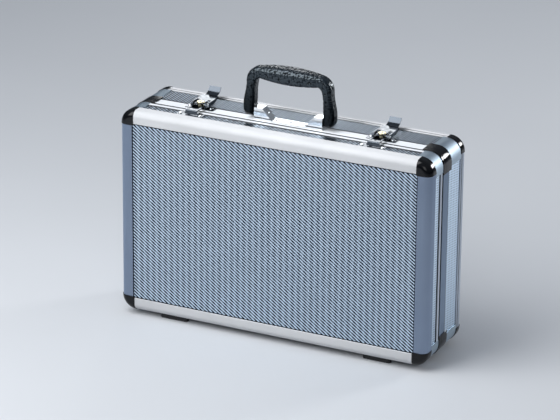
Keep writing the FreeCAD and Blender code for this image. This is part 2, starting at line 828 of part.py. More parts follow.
keeper_rivet_spots = spread(s.keeper_width - (s.rivet_head_radius + s.rivet_margin) * 2, 2)
nose_in = keeper_back + s.keeper_lip + s.nose_play
lock_y = pivot_y + s.lock_behind_pivot


def latch_place(body, side):
    place(body, (latch_x * LEFT_RIGHT[side], parting, top))


def make_latch_plate(side):
    body = new_body(f"latch_plate_{side}")
    far = latch_front + s.latch_plate_depth
    plate = rectangle(-latch_plate_reach, latch_plate_reach, latch_front, far, s.ear_radius)
    extrude(body, "XY_Plane", [plate], s.latch_sheet, offset=-s.bead_step)
    ear_top, ear_round = pivot_z + s.ear_radius, s.ear_radius * ROUND_SHARE
    ear_front, ear_back = pivot_y - s.ear_radius, pivot_y + s.ear_radius
    ear = [
        (ear_front, -s.bead_step), (ear_back, -s.bead_step),
        (ear_back, ear_top, ear_round), (ear_front, ear_top, ear_round),
    ]
    for start in (ear_in, -ear_out):
        extrude(body, "YZ_Plane", [ear], s.latch_sheet, offset=start)
    drill(body, "YZ_Plane", [(pivot_y, pivot_z)], lever_pin_hole, latch_plate_reach * 2, centred=True)
    rivets = [(along, latch_front + s.latch_plate_depth / 2) for along in latch_rivet_spots]
    drill(body, "XY_Plane", rivets, rivet_hole, s.latch_sheet * 4, centred=True)
    latch_place(body, side)
    keep(f"latch_plate_{side}", body)


def make_lever(side):
    body = new_body(f"latch_lever_{side}")
    top_low = pivot_z + s.lever_top
    top_high = top_low + s.latch_sheet
    under = pivot_z - s.lever_flange_drop
    toe = pivot_y + s.lever_length
    heel, heel_round = pivot_y - s.lever_heel, (top_high - under) / 2 * ROUND_SHARE
    flange = [
        (heel, under, heel_round), (toe - lever_top_start, under), (toe, top_low), (toe, top_high),
        (heel, top_high, heel_round),
    ]
    extrude(body, "YZ_Plane", [flange], s.latch_sheet, offset=flange_in)
    plate = rectangle(-lever_half, lever_half, pivot_y + lever_top_start, toe)
    extrude(body, "XY_Plane", [plate], s.latch_sheet, offset=top_low)
    extrude(body, "YZ_Plane", [flange], s.latch_sheet, offset=-lever_half)
    tongue = rectangle(-tongue_half, tongue_half, lock_y - tongue_half, toe)
    extrude(body, "XY_Plane", [tongue], s.latch_sheet, offset=top_low)
    sine, rise = math.sin(TAB_TURN), 1 - math.cos(TAB_TURN)
    outer = s.tab_radius + s.latch_sheet
    tab = [
        (toe - s.latch_sheet, top_low), (toe, top_low, outer, 1),
        (toe + outer * sine, top_low + outer * rise),
        (toe + s.tab_radius * sine, top_high + s.tab_radius * rise, s.tab_radius, -1), (toe, top_high),
        (toe - s.latch_sheet, top_high),
    ]
    extrude(body, "YZ_Plane", [tab], s.tab_width, centred=True)
    drill(body, "YZ_Plane", [(pivot_y, pivot_z)], lever_pin_hole, latch_plate_reach * 2, centred=True)
    drill(body, "YZ_Plane", [(claw_y, claw_z)], claw_pin_hole, latch_plate_reach * 2, centred=True)
    drill(body, "XY_Plane", [(0, lock_y)], s.lock_barrel_radius + s.pin_play, s.latch_sheet * 2,
          offset=top_low - s.latch_sheet / 2)
    latch_place(body, side)
    keep(f"latch_lever_{side}", body)


def make_claw(side):
    """Draw claw: a side bar past each side of the lock, joined by a hooked nose."""
    body = new_body(f"latch_claw_{side}")
    low, high = claw_z - s.claw_sheet / 2, claw_z + s.claw_sheet / 2
    bar_back, nose_out = -nose_in + s.claw_bar, -nose_in - s.claw_sheet
    nose_low = s.keeper_rise + s.nose_play
    nose = [
        (bar_back, low), (-nose_in, low), (-nose_in, nose_low), (nose_out, nose_low),
        (nose_out, high, s.claw_sheet * ROUND_SHARE), (bar_back, high),
    ]
    extrude(body, "YZ_Plane", [nose], claw_out * 2, centred=True)
    for start in (claw_in, -claw_out):
        side_bar_outline = rectangle(-nose_in, claw_y, low, high)
        extrude(body, "YZ_Plane", [side_bar_outline], s.claw_side_width, offset=start)
        extrude_disc(body, "YZ_Plane", claw_y, claw_z, s.claw_eye, s.claw_side_width, offset=start)
    drill(body, "YZ_Plane", [(claw_y, claw_z)], claw_pin_hole, claw_out * 4, centred=True)
    latch_place(body, side)
    keep(f"latch_claw_{side}", body)


def make_claw_pin(side):
    pin = doc.addObject("Part::Cylinder", f"claw_pin_{side}")
    bind(pin, "Radius", s.claw_pin_radius)
    bind(pin, "Height", lever_half * 2)
    pin_start = latch_x * LEFT_RIGHT[side] - lever_half
    place(pin, (pin_start, parting + claw_y, top + claw_z), (REAR, UP, RIGHT))
    keep(f"claw_pin_{side}", pin)


def make_keeper(side):
    body = new_body(f"keeper_{side}")
    floor = -s.wall
    half_width = s.keeper_width / 2
    plate = rectangle(-half_width, half_width, -keeper_front, -keeper_back)
    extrude(body, "XY_Plane", [plate], s.latch_sheet, offset=floor)
    lip = rectangle(-keeper_back - s.keeper_lip, -keeper_back, floor, s.keeper_rise)
    extrude(body, "YZ_Plane", [lip], (claw_out + s.keeper_lip_margin) * 2, centred=True)
    spots = [(along, -keeper_rivet_row) for along in keeper_rivet_spots]
    drill(body, "XY_Plane", spots, rivet_hole, s.board * 4, centred=True)
    latch_place(body, side)
    keep(f"keeper_{side}", body)


def make_lock(side):
    """Key lock: local Z is the barrel's axis, with zero on the lever's upper face."""
    body = new_body(f"lock_cylinder_{side}")
    barrel_end = -s.lock_barrel_length
    outline = [
        (0, barrel_end), (s.lock_barrel_radius, barrel_end), (s.lock_barrel_radius, 0),
        (s.lock_face_radius, 0), (s.lock_face_radius, s.lock_face_height, s.lock_face_height * ROUND_SHARE),
        (0, s.lock_face_height),
    ]
    revolve(body, outline, 360)
    cam = rectangle(-s.lock_barrel_radius / 2, s.lock_barrel_radius / 2, 0, s.lock_cam_reach)
    extrude(body, "XY_Plane", [cam], s.lock_cam, offset=barrel_end)
    slot_long, slot_wide = s.key_slot_length / 2, s.key_slot_width / 2
    sketch = new_sketch(body, "XY_Plane", s.lock_face_height - s.key_slot_depth)
    draw_outline(sketch, rectangle(-slot_wide, slot_wide, -slot_long, slot_long))
    slot = body.newObject("PartDesign::Pocket", f"{body.Name}_key_slot")
    slot.Profile = sketch
    bind(slot, "Length", s.key_slot_depth * 2)
    slot.Reversed = True
    lever_face = pivot_z + s.lever_top + s.latch_sheet
    place(body, (latch_x * LEFT_RIGHT[side], parting + lock_y, top + lever_face))
    keep(f"lock_cylinder_{side}", body)


for side in LEFT_RIGHT:
    make_latch_plate(side)
    make_lever(side)
    make_claw(side)
    make_claw_pin(side)
    make_keeper(side)
    make_lock(side)


# Lever pivots: headed stub pins through each ear and lever flange
def make_lever_pins():
    body = new_body("lever_pin_pattern")
    shank = lever_half - ear_in
    outline = [
        (0, 0), (s.lever_pin_radius, 0), (s.lever_pin_radius, shank), (s.lever_pin_head, shank),
        (s.lever_pin_head, shank + s.latch_sheet, s.latch_sheet * ROUND_SHARE), (0, shank + s.latch_sheet),
    ]
    revolve(body, outline, 360)
    places = []
    for latch_sign in LEFT_RIGHT.values():
        for sign in LEFT_RIGHT.values():
            x = latch_x * latch_sign + ear_in * sign
            axes = (REAR, UP, RIGHT) if sign > 0 else (UP, REAR, -RIGHT)
            places.append(((x, parting + pivot_y, top + pivot_z), axes))
    group("lever_pins", body, places)


make_lever_pins()


def mirrored(spot, offsets):
    """Places of a row of rivets on the left piece and on the right one."""
    return [spot * sign + offset for sign in LEFT_RIGHT.values() for offset in offsets]


# Rivet rows and the holes that they take in what lies under each sheet
rivet_rows = {
    "handle": plate_rivet_spots,
    "latch": mirrored(latch_x, latch_rivet_spots),
    "keeper": mirrored(latch_x, keeper_rivet_spots),
    "hinge": mirrored(hinge_x, hinge_rivet_spots),
}
latch_rivet_in = latch_front + s.latch_plate_depth / 2
flange_hole = s.bead_step + s.wall + s.rivet_tail + s.pin_play
top_spots = [(base_depth - handle_behind_parting, along) for along in rivet_rows["handle"]]
top_spots += [(base_depth - latch_rivet_in, along) for along in rivet_rows["latch"]]
base_hinge_spots = [(base_depth - hinge_rivet_row["base"], along) for along in rivet_rows["hinge"]]
for side, spots in (("top", top_spots), ("bottom", base_hinge_spots)):
    drill(base_rims[side], "YZ_Plane", spots, rivet_hole, flange_hole)
    drill(side_boards["base", side], "YZ_Plane", spots, rivet_hole, flange_hole)
lid_hinge_spots = [(s.lid_depth - hinge_rivet_row["lid"], along) for along in rivet_rows["hinge"]]
drill(lid_rims["bottom"], "YZ_Plane", lid_hinge_spots, rivet_hole, s.wall)
drill(side_boards["lid", "bottom"], "YZ_Plane", lid_hinge_spots, rivet_hole, board_back)
keeper_spots = [(s.lid_depth - keeper_rivet_row, along) for along in rivet_rows["keeper"]]
drill(side_boards["lid", "top"], "YZ_Plane", keeper_spots, rivet_hole, board_back)

OUT_TOP, OUT_BOTTOM = (RIGHT, REAR, UP), (RIGHT, -REAR, -UP)
sheet_grip = s.latch_sheet + s.wall + s.rivet_tail
plate_rivet = make_rivet_pattern("plate_rivet_pattern", s.plate_thickness + s.wall + s.rivet_tail)
latch_rivet = make_rivet_pattern("latch_rivet_pattern", sheet_grip)
leaf_rivet = make_rivet_pattern("leaf_rivet_pattern", s.leaf + s.wall + s.rivet_tail)
keeper_rivet = make_rivet_pattern("keeper_rivet_pattern", s.latch_sheet + s.board)
through_rivet = make_rivet_pattern("through_rivet_pattern", s.leaf + board_back)


def rivet_links(label, pattern, row, y, z, axes):
    links = []
    for along in row:
        link = doc.addObject("App::Link", f"{label}_rivet")
        link.LinkedObject = pattern
        place(link, (along, y, z), axes)
        links.append(link)
    return links


plate_top = flange_level + s.plate_thickness
latch_top = flange_level + s.latch_sheet
base_leaf_face = bottom + s.bead_step - s.leaf
base_rivets = rivet_links("handle", plate_rivet, rivet_rows["handle"], handle_y, plate_top, OUT_TOP)
base_rivets += rivet_links("latch", latch_rivet, rivet_rows["latch"], parting + latch_rivet_in,
                           latch_top, OUT_TOP)
base_rivets += rivet_links("base_hinge", leaf_rivet, rivet_rows["hinge"],
                           parting + hinge_rivet_row["base"], base_leaf_face, OUT_BOTTOM)
gather("base_rivets", base_rivets)
lid_rivets = rivet_links("keeper", keeper_rivet, rivet_rows["keeper"], parting - keeper_rivet_row,
                         top - s.wall + s.latch_sheet, OUT_TOP)
lid_rivets += rivet_links("lid_hinge", through_rivet, rivet_rows["hinge"],
                          parting - hinge_rivet_row["lid"], bottom - s.leaf, OUT_BOTTOM)
gather("lid_rivets", lid_rivets)

doc.recompute()
faults = [item.Label for item in doc.Objects if {"Invalid", "Error"} & set(item.State)]
faults += [label for label, piece in parts.items() if piece.Shape.isNull() or not piece.Shape.isValid()]
if faults:
    raise RuntimeError(f"pieces that did not build: {faults}")
os.makedirs("parts", exist_ok=True)
for label, piece in parts.items():
    piece.Shape.exportStep(f"parts/{label}.step")
print(f"{len(parts)} pieces written")
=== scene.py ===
import bmesh
import bpy
import json
import math
import numpy as np
from mathutils import Matrix, Vector


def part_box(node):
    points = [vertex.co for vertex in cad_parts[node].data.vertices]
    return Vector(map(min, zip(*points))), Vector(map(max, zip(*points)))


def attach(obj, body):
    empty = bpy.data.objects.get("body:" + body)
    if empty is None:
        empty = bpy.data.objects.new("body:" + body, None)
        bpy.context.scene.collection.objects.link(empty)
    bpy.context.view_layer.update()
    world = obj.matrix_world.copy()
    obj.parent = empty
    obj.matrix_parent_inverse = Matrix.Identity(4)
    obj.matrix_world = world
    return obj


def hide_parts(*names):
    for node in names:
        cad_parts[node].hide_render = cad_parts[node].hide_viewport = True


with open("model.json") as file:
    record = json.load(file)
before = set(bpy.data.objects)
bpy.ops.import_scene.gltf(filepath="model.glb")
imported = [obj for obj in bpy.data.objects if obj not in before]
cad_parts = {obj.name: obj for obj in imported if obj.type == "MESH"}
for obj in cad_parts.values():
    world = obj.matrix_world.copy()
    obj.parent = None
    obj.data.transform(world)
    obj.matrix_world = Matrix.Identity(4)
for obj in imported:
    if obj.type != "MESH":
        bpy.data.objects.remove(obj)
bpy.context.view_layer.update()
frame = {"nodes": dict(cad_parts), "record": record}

mm = 0.001
nodes = frame["nodes"]
bodyMembers = frame["record"]["behaviour"]["bodies"]
bodyOf = {node: body for body, members in bodyMembers.items() for node in members}
halves = ("lid", "base")
hands = ("left", "right")
runOf = {"top": "across", "bottom": "across", "left": "upright", "right": "upright"}
print("frame loaded:", len(nodes), "nodes")


# sRGB hex to linear light: the dark end is a straight line, the rest a 2.4 power
def toLinear(hexCode):
    channels = [int(hexCode[start:start + 2], 16) / 255 for start in (1, 3, 5)]
    linear = [c / 12.92 if c <= 0.04045 else ((c + 0.055) / 1.055) ** 2.4 for c in channels]
    return (*linear, 1.0)


# one node with its settings; each input is linked to a socket or set to a value
def addNode(tree, kind, inputs, **settings):
    node = tree.nodes.new(kind)
    for name, value in settings.items():
        setattr(node, name, value)
    for name, source in inputs.items():
        if isinstance(source, bpy.types.NodeSocket):
            tree.links.new(source, node.inputs[name])
        else:
            node.inputs[name].default_value = source
    return node


# repeats per metre of a pattern with a pitch in mm, because coordinates are in metres
def perMetre(pitch):
    return 1 / (pitch * mm)


# empty material, and the place of a point in its piece
def newMaterial(name):
    material = bpy.data.materials.new(name)
    material.use_nodes = True
    tree = material.node_tree
    tree.nodes.clear()
    return material, tree, addNode(tree, "ShaderNodeTexCoord", {}).outputs["Object"]


# principled surface with these inputs, as the material's output
def closeMaterial(tree, inputs):
    shader = addNode(tree, "ShaderNodeBsdfPrincipled", inputs)
    addNode(tree, "ShaderNodeOutputMaterial", {"Surface": shader.outputs[0]})


# number of each point of a piece, as markPoints gave it
def pointMark(tree, name):
    return addNode(tree, "ShaderNodeAttribute", {}, attribute_name=name).outputs["Fac"]


# soft noise from 0 to 1 with a grain in mm
def grainNoise(tree, place, grain, detail, distortion=0.0):
    inputs = {"Vector": place, "Scale": perMetre(grain), "Detail": detail, "Distortion": distortion}
    return addNode(tree, "ShaderNodeTexNoise", inputs).outputs["Fac"]


# a mix node's colour sockets go by number, because their names repeat
mixSocket = {"low": 6, "high": 7, "result": 2}


# colour between two, each an sRGB hex code or a socket
def colourBetween(tree, factor, low, high):
    low, high = (toLinear(end) if isinstance(end, str) else end for end in (low, high))
    inputs = {"Factor": factor, mixSocket["low"]: low, mixSocket["high"]: high}
    return addNode(tree, "ShaderNodeMix", inputs, data_type="RGBA").outputs[mixSocket["result"]]


# value carried from one range to another, in a straight line or eased at both ends
def remap(tree, value, source=(0.0, 1.0), target=(0.0, 1.0), kind="LINEAR"):
    limits = dict(zip(("From Min", "From Max", "To Min", "To Max"), (*source, *target)))
    return addNode(tree, "ShaderNodeMapRange", {"Value": value, **limits},
                   interpolation_type=kind).outputs["Result"]


# normals of a fine relief with a depth in mm
def relief(tree, height, strength, depth):
    inputs = {"Height": height, "Strength": strength, "Distance": depth * mm}
    return addNode(tree, "ShaderNodeBump", inputs).outputs["Normal"]


# point numbers of the quads of a grid, wound so that along a row cross up the rows points outwards
def gridQuads(rows, cols, wrapCols=False):
    i = np.arange(rows - 1)[:, None]
    j = np.arange(cols if wrapCols else cols - 1)[None, :]
    row, nextRow, nextJ = i * cols, (i + 1) * cols, (j + 1) % cols
    return np.stack([row + j, row + nextJ, nextRow + nextJ, nextRow + j], -1).reshape(-1, 4)


# a shape is its points, its quads and its flat end faces; several are joined by counting their points on
def joinShapes(shapes):
    offsets = np.cumsum([0] + [len(points) for points, quads, ends in shapes[:-1]])
    points = np.concatenate([shape[0] for shape in shapes])
    quads = np.concatenate([shape[1] + offset for shape, offset in zip(shapes, offsets)])
    ends = [end + offset for shape, offset in zip(shapes, offsets) for end in shape[2]]
    return points, quads, ends


# closed tube: rings of points joined from one to the next, and a flat face at each end
def tube(points):
    rows, cols = points.shape[:2]
    ends = [np.arange(cols)[::-1], np.arange(cols) + (rows - 1) * cols]
    return points.reshape(-1, 3), gridQuads(rows, cols, wrapCols=True), ends


# closed slab: a grid of points over its face, walls round the grid's border and a flat back
def slab(points, normalAxis, back, turned):
    rows, cols = points.shape[:2]
    number = np.arange(rows * cols).reshape(rows, cols)
    border = np.concatenate([number[0, :-1], number[:-1, -1], number[-1, :0:-1], number[:0:-1, 0]])
    points = points.reshape(-1, 3)
    backPoints = points[border].copy()
    backPoints[:, normalAxis] = back
    backNumber = rows * cols + np.arange(len(border))
    walls = np.stack([border, backNumber, np.roll(backNumber, -1), np.roll(border, -1)], -1)
    quads, end = np.concatenate([gridQuads(rows, cols), walls]), backNumber[::-1]
    if turned:
        quads, end = quads[:, ::-1], end[::-1]
    return np.concatenate([points, backPoints]), quads, [end]


weldDistance = 1e-6                                        # metres


# mesh object from a shape: doubles merged, faces turned outwards, edges sharp past an angle
def addPiece(name, shape, sharpFrom=35, weld=True):
    points, quads, ends = shape
    corners = np.concatenate([quads.ravel(), *ends])
    sizes = np.array([4] * len(quads) + [len(end) for end in ends])
    starts = np.concatenate([[0], np.cumsum(sizes)[:-1]])
    mesh = bpy.data.meshes.new(name)
    mesh.vertices.add(len(points))
    mesh.vertices.foreach_set("co", np.asarray(points, np.float32).ravel())
    mesh.loops.add(len(corners))
    mesh.loops.foreach_set("vertex_index", corners.astype(np.int32))
    mesh.polygons.add(len(sizes))
    mesh.polygons.foreach_set("loop_start", starts.astype(np.int32))
    mesh.update(calc_edges=True)
    if weld:
        work = bmesh.new()
        work.from_mesh(mesh)
        bmesh.ops.remove_doubles(work, verts=work.verts, dist=weldDistance)
        bmesh.ops.dissolve_degenerate(work, edges=work.edges, dist=weldDistance)
        bmesh.ops.recalc_face_normals(work, faces=work.faces)
        work.to_mesh(mesh)
        work.free()
    mesh.polygons.foreach_set("use_smooth", np.ones(len(mesh.polygons), bool))
    mesh.set_sharp_from_angle(angle=math.radians(sharpFrom))
    mesh.validate()
    piece = bpy.data.objects.new(name, mesh)
    bpy.context.scene.collection.objects.link(piece)
    return piece


# a number for each point of a piece, which its material reads by name
def markPoints(piece, name, values):
    marks = piece.data.attributes.new(name, "FLOAT", "POINT")
    marks.data.foreach_set("value", values.ravel().astype(np.float32))


# outline of straight runs and round corners, in metres; a corner is (x, y) or (x, y, radius) in mm.
# A rounding is an arc about the point on the corner's bisector that lies one radius from both runs
def roundedOutline(corners, steps=9):
    spot = np.array([corner[:2] for corner in corners], float)
    runs = []
    for here, last, following, corner in zip(spot, np.roll(spot, 1, 0), np.roll(spot, -1, 0), corners):
        if len(corner) < 3:
            runs.append(here[None])
            continue
        back = (last - here) / np.hypot(*(last - here))
        ahead = (following - here) / np.hypot(*(following - here))
        bisector = (back + ahead) / np.hypot(*(back + ahead))
        half = math.acos(back @ bisector)
        beside = (back - bisector * math.cos(half)) / math.sin(half)
        angle = np.linspace(1, -1, steps)[:, None] * (math.pi / 2 - half)
        middle = here + bisector * corner[2] / math.sin(half)
        runs.append(middle - corner[2] * (bisector * np.cos(angle) - beside * np.sin(angle)))
    return np.concatenate(runs) * mm


# profile carried along a path: a point of it lies at start + first part * u + second part * v, where
# each of the three is one row of numbers, or one for every step of the path
def sweep(profile, start, u, v):
    start, u, v = (np.asarray(rows, float).reshape(-1, 1, 3) for rows in (start, u, v))
    return tube(start + profile[None, :, :1] * u + profile[None, :, 1:] * v)


# a new piece gets its material and rides on the body of the node that it stands for, which is hidden
def standFor(piece, material, *replaced):
    piece.data.materials.append(material)
    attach(piece, bodyOf[replaced[0]])
    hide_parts(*replaced)


def dress(material, *names):
    for name in names:
        nodes[name].data.materials.clear()
        nodes[name].data.materials.append(material)


cameraView = {
    "azimuth": 25.82, "elevation": 21.39, "roll": 0.51,      # degrees, round the middle of the case
    "distance": 4.3151, "aside": -0.0139, "above": 0.0177,   # metres
    "aimHeight": 0.150, "clipEnd": 100.0,
    "lens": 208.9, "sensor": 36.0,                           # mm
}


# the camera sits back along its view line from the middle of the case, then steps aside and up
def makeCamera(view):
    azimuth, elevation, roll = (math.radians(view[key]) for key in ("azimuth", "elevation", "roll"))
    level = math.cos(elevation)
    back = Vector((math.sin(azimuth) * level, -math.cos(azimuth) * level, math.sin(elevation)))
    levelRight = Vector((math.cos(azimuth), math.sin(azimuth), 0))
    levelUp = back.cross(levelRight)
    right = levelRight * math.cos(roll) + levelUp * math.sin(roll)
    up = levelUp * math.cos(roll) - levelRight * math.sin(roll)
    place = Vector((0, 0, view["aimHeight"])) + back * view["distance"]
    place += right * view["aside"] + up * view["above"]
    camera = bpy.data.objects.new("camera", bpy.data.cameras.new("camera"))
    camera.data.lens, camera.data.sensor_width = view["lens"], view["sensor"]
    camera.data.clip_end = view["clipEnd"]
    camera.matrix_world = Matrix.Translation(place) @ Matrix((right, up, back)).transposed().to_4x4()
    bpy.context.scene.collection.objects.link(camera)
    bpy.context.scene.camera = camera


makeCamera(cameraView)
bpy.context.scene.view_settings.view_transform = "Standard"
print("camera placed")

studio = {
    "floorSize": 30.0, "floor": ("#CDD0D4", "#D3D6DA"),
    "worldHorizon": "#6E7884", "worldZenith": "#DDE7F6", "zenithFrom": 0.8, "worldStrength": 0.35,
    # softboxes: where, size across and along in metres, watts
    "softboxes": {
        "key": {"at": (-0.62, -0.85, 1.35), "size": (1.2, 2.0), "watts": 33},
        "frontRight": {"at": (0.95, -1.70, 1.15), "size": (0.8, 0.8), "watts": 4},
        "backRight": {"at": (1.15, 1.65, 0.75), "size": (0.4, 0.4), "watts": 12},
        "back": {"at": (-0.90, 1.90, 0.95), "size": (0.5, 0.35), "watts": 2.5},
    },
    "aim": (0, 0, 0.16),
}


def makeFloor(setup):
    half = setup["floorSize"] / 2
    x, y = np.meshgrid([-half, half], [-half, half])
    points = np.stack([x, y, x * 0], -1).reshape(-1, 3)
    floor = addPiece("floor", (points, gridQuads(2, 2), []), weld=False)
    material, tree, place = newMaterial("matt painted studio floor")  # pale, with a faint soft mottle
    mottle = grainNoise(tree, place, 400, 3.0)
    closeMaterial(tree, {"Base Color": colourBetween(tree, mottle, *setup["floor"]), "Roughness": 0.75})
    floor.data.materials.append(material)


def makeLamps(setup):
    for name, box in setup["softboxes"].items():
        light = bpy.data.lights.new(name, "AREA")
        light.shape, light.energy = "RECTANGLE", box["watts"]
        light.size, light.size_y = box["size"]
        lamp = bpy.data.objects.new(name, light)
        lamp.visible_camera = False
        lamp.location = box["at"]
        lamp.rotation_euler = (Vector(setup["aim"]) - lamp.location).to_track_quat("-Z", "Y").to_euler()
        bpy.context.scene.collection.objects.link(lamp)


# the world's light rises from a grey horizon to a pale zenith
def makeWorld(setup):
    world = bpy.data.worlds.new("studio")
    bpy.context.scene.world = world
    world.use_nodes = True
    tree = world.node_tree
    tree.nodes.clear()
    facing = addNode(tree, "ShaderNodeTexCoord", {}).outputs["Generated"]
    height = addNode(tree, "ShaderNodeSeparateXYZ", {"Vector": facing}).outputs["Z"]
    rise = remap(tree, height, (0.0, setup["zenithFrom"]), kind="SMOOTHSTEP")
    sky = colourBetween(tree, rise, setup["worldHorizon"], setup["worldZenith"])
    glow = addNode(tree, "ShaderNodeBackground", {"Color": sky, "Strength": setup["worldStrength"]})
    addNode(tree, "ShaderNodeOutputWorld", {"Surface": glow.outputs[0]})


makeFloor(studio)
makeLamps(studio)
makeWorld(studio)
print("studio lit")


# embossed aluminium sheet: slanted slots rolled into it; painted shade darkens it inside the slots and
# along its border, and painted light sets each board's brightness
def embossedSheet():
    material, tree, place = newMaterial("embossed aluminium sheet")
    # painted shade: the marked tone takes the sheet from near black in its slots to pale on its crests
    crest = remap(tree, pointMark(tree, "ridge"), (0.34, 0.84), kind="SMOOTHSTEP")
    speckle = grainNoise(tree, place, 1.2, 4.0)
    closeMaterial(tree, {
        "Base Color": colourBetween(tree, crest, "#0A1424", "#DAEDFF"), "Metallic": 1.0,
        "Roughness": remap(tree, speckle, target=(0.26, 0.44)),
        "Normal": relief(tree, speckle, 0.12, 0.05)})
    return material


# anodised extrusion: satin, its die lines spread the light across them and hardly along them, and its
# narrow channels are painted dark as shade
def anodisedExtrusion(name, axis, colour, spread=0.95, rough=(0.46, 0.58)):
    material, tree, place = newMaterial(name)
    stretch = [0.02 if letter == axis else 1.0 for letter in "XYZ"]  # long lines along the draw
    drawn = addNode(tree, "ShaderNodeMapping", {"Vector": place, "Scale": stretch}).outputs["Vector"]
    lines = grainNoise(tree, drawn, 0.9, 3.0)
    cloudy = colourBetween(tree, grainNoise(tree, place, 60, 2.0), *colour)
    across = addNode(tree, "ShaderNodeTangent", {}, direction_type="RADIAL", axis=axis)
    closeMaterial(tree, {
        # painted shade: the marked channel points are mixed towards a near black
        "Base Color": colourBetween(tree, pointMark(tree, "channel"), cloudy, "#161B22"),
        "Metallic": 1.0, "Roughness": remap(tree, lines, target=rough),
        "Anisotropic": spread, "Tangent": across.outputs["Tangent"],
        "Normal": relief(tree, lines, 0.10, 0.03)})
    return material


# moulded ABS: black and glossy, with the faint waviness of a mould
def mouldedAbs():
    material, tree, place = newMaterial("moulded black ABS")
    wave, fine = grainNoise(tree, place, 7, 2.0), grainNoise(tree, place, 0.7, 2.0)
    closeMaterial(tree, {
        "Base Color": toLinear("#0A0B0E"), "Roughness": remap(tree, fine, target=(0.08, 0.16)),
        "IOR": 1.53, "Specular IOR Level": 0.25, "Normal": relief(tree, wave, 0.15, 0.2)})
    return material


# bright plate on pressed steel: mirror-like, a little duller where fingers and keys rub
def brightPlate(name, colour):
    material, tree, place = newMaterial(name)
    rub = grainNoise(tree, place, 5, 5.0)
    closeMaterial(tree, {
        "Base Color": toLinear(colour), "Metallic": 1.0,
        "Roughness": remap(tree, rub, (0.35, 0.75), (0.08, 0.24)), "Normal": relief(tree, rub, 0.08, 0.1)})
    return material


# turned brass with a thin nickel wash: warm, with a fine uneven grit
def turnedBrass():
    material, tree, place = newMaterial("nickel washed turned brass")
    grit = grainNoise(tree, place, 0.8, 3.0)
    closeMaterial(tree, {
        "Base Color": colourBetween(tree, grit, "#BFB38A", "#E2DCC4"), "Metallic": 1.0, "Roughness": 0.22,
        "Normal": relief(tree, grit, 0.15, 0.05)})
    return material


# black vinyl over the handle: glossy pebble tops with a cool sheen, less glossy grooves between them, and
# painted shade that darkens the grooves
def grainedVinyl():
    material, tree, place = newMaterial("grained black vinyl")
    crest, fine = pointMark(tree, "crest"), grainNoise(tree, place, 0.5, 3.0)
    closeMaterial(tree, {
        "Base Color": colourBetween(tree, crest, "#040506", "#0E161C"),
        "Roughness": remap(tree, fine, target=(0.14, 0.26)), "IOR": 1.5,
        "Specular IOR Level": remap(tree, crest, target=(0.1, 1.0)),
        "Specular Tint": toLinear("#D6E6F2"), "Normal": relief(tree, fine, 0.2, 0.1)})
    return material


# needled felt: dark and dull, with short crossed fibres
def needledFelt():
    material, tree, place = newMaterial("needled felt lining")
    fibre = grainNoise(tree, place, 0.9, 6.0, distortion=2.0)
    closeMaterial(tree, {
        "Base Color": colourBetween(tree, fibre, "#202227", "#4A4D54"), "Roughness": 0.95,
        "Sheen Weight": 0.3, "Normal": relief(tree, fibre, 0.6, 0.4)})
    return material


# open-cell polyurethane foam: charcoal, its small pores painted darker as shade
def openCellFoam():
    material, tree, place = newMaterial("open-cell polyurethane foam")
    cells = addNode(tree, "ShaderNodeTexVoronoi", {"Vector": place, "Scale": perMetre(0.8)})
    pore = cells.outputs["Distance"]
    closeMaterial(tree, {
        "Base Color": colourBetween(tree, pore, "#26282C", "#4B4E54"), "Roughness": 0.98,
        "Normal": relief(tree, pore, 0.6, 0.4)})
    return material


# moulded rubber: matt black, a little grey where it has been scuffed
def mouldedRubber():
    material, tree, place = newMaterial("moulded black rubber")
    scuff = grainNoise(tree, place, 3, 6.0)
    closeMaterial(tree, {
        "Base Color": colourBetween(tree, scuff, "#101114", "#2B2C2F"), "Roughness": 0.8, "IOR": 1.52,
        "Normal": relief(tree, scuff, 0.3, 0.1)})
    return material


sheetMetal = embossedSheet()
# one anodised aluminium throughout: the tones below differ by run and half only as painted light and shade,
# paler where a side is lit and darker where it is shaded; the drawn axis, spread and roughness are the
# metal's own
acrossBars = anodisedExtrusion("anodised extrusion drawn along X", "X", ("#B2B4B7", "#BCBEC1"))
lidUprightBars = anodisedExtrusion("anodised extrusion drawn along Z", "Z", ("#93A2B9", "#9FADC2"))
depthBars = anodisedExtrusion("anodised extrusion drawn along Y", "Y", ("#95A6B4", "#A1B0BD"),
                              spread=0.6, rough=(0.42, 0.52))
baseUprightBars = anodisedExtrusion("anodised extrusion drawn along Z, painted paler as lit", "Z", ("#C3CBD6", "#CDD4DE"))
acrossRims = anodisedExtrusion("anodised rim drawn along X, painted paler as lit", "X", ("#BDC1C6", "#C7CACE"))
lidUprightRims = anodisedExtrusion("anodised lid rim drawn along Z, painted paler as lit", "Z", ("#CDD4DE", "#D7DDE5"))
baseUprightRims = anodisedExtrusion("anodised base rim drawn along Z, painted darker as shaded", "Z", ("#8B9BB0", "#98A6B9"))
blackAbs = mouldedAbs()
chrome = brightPlate("chrome plated pressed steel", "#E2E5E8")
# painted reflection: the latch plating is given a dark tone that stands in for the dark surroundings it
# reflects
nickel = brightPlate("plated pressed steel, dark as a painted reflection", "#50565D")
lockBrass = turnedBrass()
handleVinyl = grainedVinyl()
felt = needledFelt()
foam = openCellFoam()
rubber = mouldedRubber()

